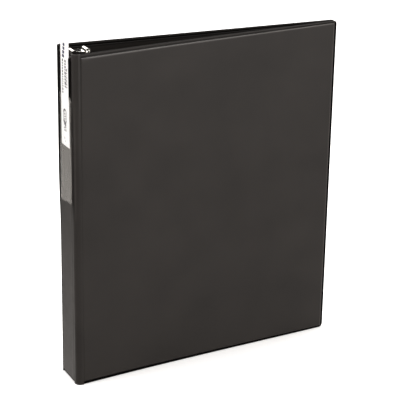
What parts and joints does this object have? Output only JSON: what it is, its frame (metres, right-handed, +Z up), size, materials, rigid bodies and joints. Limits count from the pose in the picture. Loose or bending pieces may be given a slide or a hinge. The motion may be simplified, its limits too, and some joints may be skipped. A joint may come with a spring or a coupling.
{
  "type": "ring binder",
  "caption": "Upright black vinyl ring binder with hinged covers, a clear spine label holder, and round rings that a trigger at either end opens.",
  "frame": {"origin": "centre of the base of the closed binder's bounding box, on the surface it stands on", "axes": "+X from the spine to the fore-edge, -Y towards the front cover, +Z up along the spine"},
  "size_m": [0.2528, 0.038, 0.3007],
  "materials": {
    "black_vinyl": "fine grained soft satin",
    "clear_film": "clear glossy vinyl film",
    "label_card": null,
    "chipboard": "raw grey-brown board",
    "nickel_plate": "bright nickel plate",
    "rivet_steel": "plated steel"
  },
  "bodies": {
    "spine": {"spine_board": "chipboard", "spine_outer_vinyl": "black_vinyl", "spine_inner_vinyl": "black_vinyl", "label_holder": "clear_film", "ring_housing": "nickel_plate", "top_rivet": "rivet_steel", "bottom_rivet": "rivet_steel"},
    "label_card": {"label_card": "label_card"},
    "front_hinge_strip": {"front_hinge_strip": "black_vinyl"},
    "back_hinge_strip": {"back_hinge_strip": "black_vinyl"},
    "top_trigger": {"top_trigger": "nickel_plate"},
    "bottom_trigger": {"bottom_trigger": "nickel_plate"},
    "front_cover": {"front_cover_board": "chipboard", "front_cover_outer_vinyl": "black_vinyl", "front_cover_inner_vinyl": "black_vinyl", "front_cover_inner_pocket": "black_vinyl"},
    "front_leaf": {"front_leaf": "nickel_plate", "front_lower_half_ring": "nickel_plate", "front_middle_half_ring": "nickel_plate", "front_upper_half_ring": "nickel_plate"},
    "back_cover": {"back_cover_board": "chipboard", "back_cover_outer_vinyl": "black_vinyl", "back_cover_inner_vinyl": "black_vinyl", "back_cover_inner_pocket": "black_vinyl"},
    "back_leaf": {"back_leaf": "nickel_plate", "back_lower_half_ring": "nickel_plate", "back_middle_half_ring": "nickel_plate", "back_upper_half_ring": "nickel_plate"}
  },
  "joints": [
    {"name": "front_hinge_strip_fold", "type": "hinge", "parent": "spine", "child": "front_hinge_strip", "pos_m": [-0.12449, -0.0136, 0], "axis": [0, 0, -1], "range_deg": [0, 20]},
    {"name": "front_cover_fold", "type": "hinge", "parent": "front_hinge_strip", "child": "front_cover", "pos_m": [-0.11968, -0.01811, 0], "axis": [0, 0, -1], "range_deg": [0, 150]},
    {"name": "front_leaf_pivot", "type": "hinge", "parent": "spine", "child": "front_leaf", "pos_m": [-0.12004, -0.0072, 0], "axis": [0, 0, -1], "range_deg": [0, 24]},
    {"name": "back_hinge_strip_fold", "type": "hinge", "parent": "spine", "child": "back_hinge_strip", "pos_m": [-0.12449, 0.0136, 0], "axis": [0, 0, 1], "range_deg": [0, 20]},
    {"name": "back_cover_fold", "type": "hinge", "parent": "back_hinge_strip", "child": "back_cover", "pos_m": [-0.11968, 0.01811, 0], "axis": [0, 0, 1], "range_deg": [0, 150]},
    {"name": "back_leaf_pivot", "type": "hinge", "parent": "spine", "child": "back_leaf", "pos_m": [-0.12004, 0.0072, 0], "axis": [0, 0, 1], "range_deg": [0, 24]},
    {"name": "top_trigger_pivot", "type": "hinge", "parent": "spine", "child": "top_trigger", "pos_m": [-0.12014, 0, 0.2846], "axis": [0, -1, 0], "range_deg": [0, 18]},
    {"name": "bottom_trigger_pivot", "type": "hinge", "parent": "spine", "child": "bottom_trigger", "pos_m": [-0.12014, 0, 0.0075], "axis": [0, 1, 0], "range_deg": [0, 18]},
    {"name": "label_card_slide", "type": "slide", "parent": "spine", "child": "label_card", "axis": [0, 0, 1], "range_m": [-0.046, 0.078]}
  ],
  "couplings": [
    {"joint": "back_hinge_strip_fold", "follows": "front_hinge_strip_fold", "ratio": 1},
    {"joint": "front_leaf_pivot", "follows": "front_hinge_strip_fold", "ratio": 1.2},
    {"joint": "back_leaf_pivot", "follows": "front_hinge_strip_fold", "ratio": 1.2},
    {"joint": "top_trigger_pivot", "follows": "front_hinge_strip_fold", "ratio": 0.9},
    {"joint": "bottom_trigger_pivot", "follows": "front_hinge_strip_fold", "ratio": 0.9}
  ]
}
